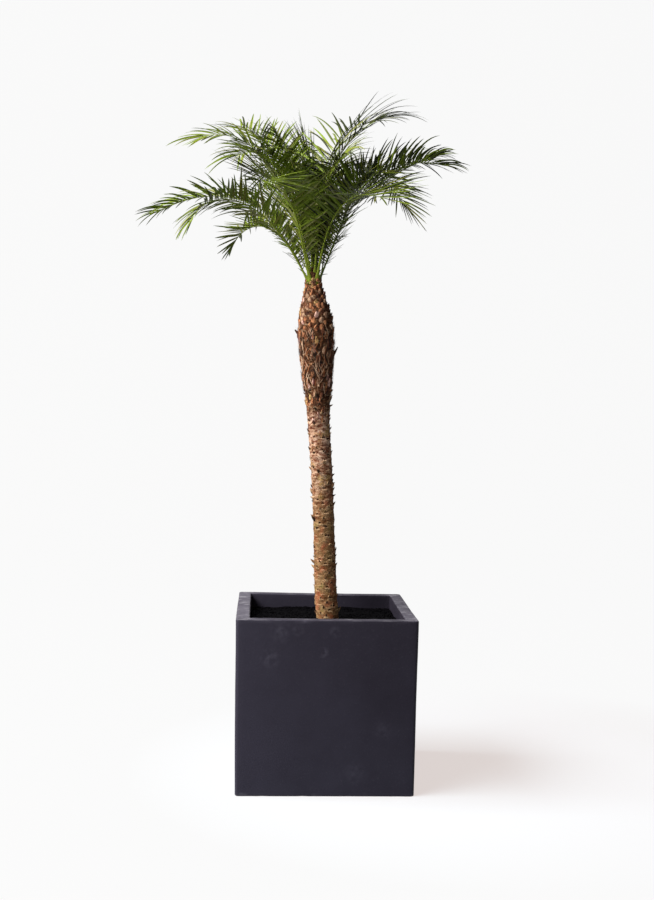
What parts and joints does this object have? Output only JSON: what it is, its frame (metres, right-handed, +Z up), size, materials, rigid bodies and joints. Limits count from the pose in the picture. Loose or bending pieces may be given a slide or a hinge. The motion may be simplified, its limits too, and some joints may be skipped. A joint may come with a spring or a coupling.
{
  "type": "potted pygmy date palm",
  "caption": "Pygmy date palm with a slim peg-studded trunk and a rosette of arching feather fronds, standing in soil in a square planter.",
  "frame": {"origin": "centre of the planter's flat underside", "axes": "+X to the right seen from the front, +Y away from the viewer, +Z up along the trunk"},
  "size_m": [0.9024, 0.8905, 1.7695],
  "materials": {
    "planter": "matte charcoal fibre-clay with faint mottling and scuffs",
    "soil": "near-black potting soil",
    "trunk": "rough brown fibrous trunk with old leaf feet",
    "frond": "satin deep green leaflets on lime green stalks"
  },
  "bodies": {
    "root": {"frond_01": "frond", "frond_02": "frond", "frond_03": "frond", "frond_04": "frond", "frond_05": "frond", "frond_05_end": "frond", "frond_06": "frond", "frond_06_end": "frond", "frond_07": "frond", "frond_07_end": "frond", "frond_08": "frond", "frond_09": "frond", "frond_10": "frond", "frond_10_end": "frond", "frond_11": "frond", "frond_12": "frond", "frond_13": "frond", "frond_14": "frond", "frond_15": "frond", "frond_15_end": "frond", "frond_16": "frond", "frond_17": "frond", "frond_18": "frond", "frond_19": "frond", "frond_20": "frond", "frond_21": "frond", "frond_22": "frond", "planter": "planter", "soil": "soil", "trunk": "trunk"}
  },
  "joints": []
}
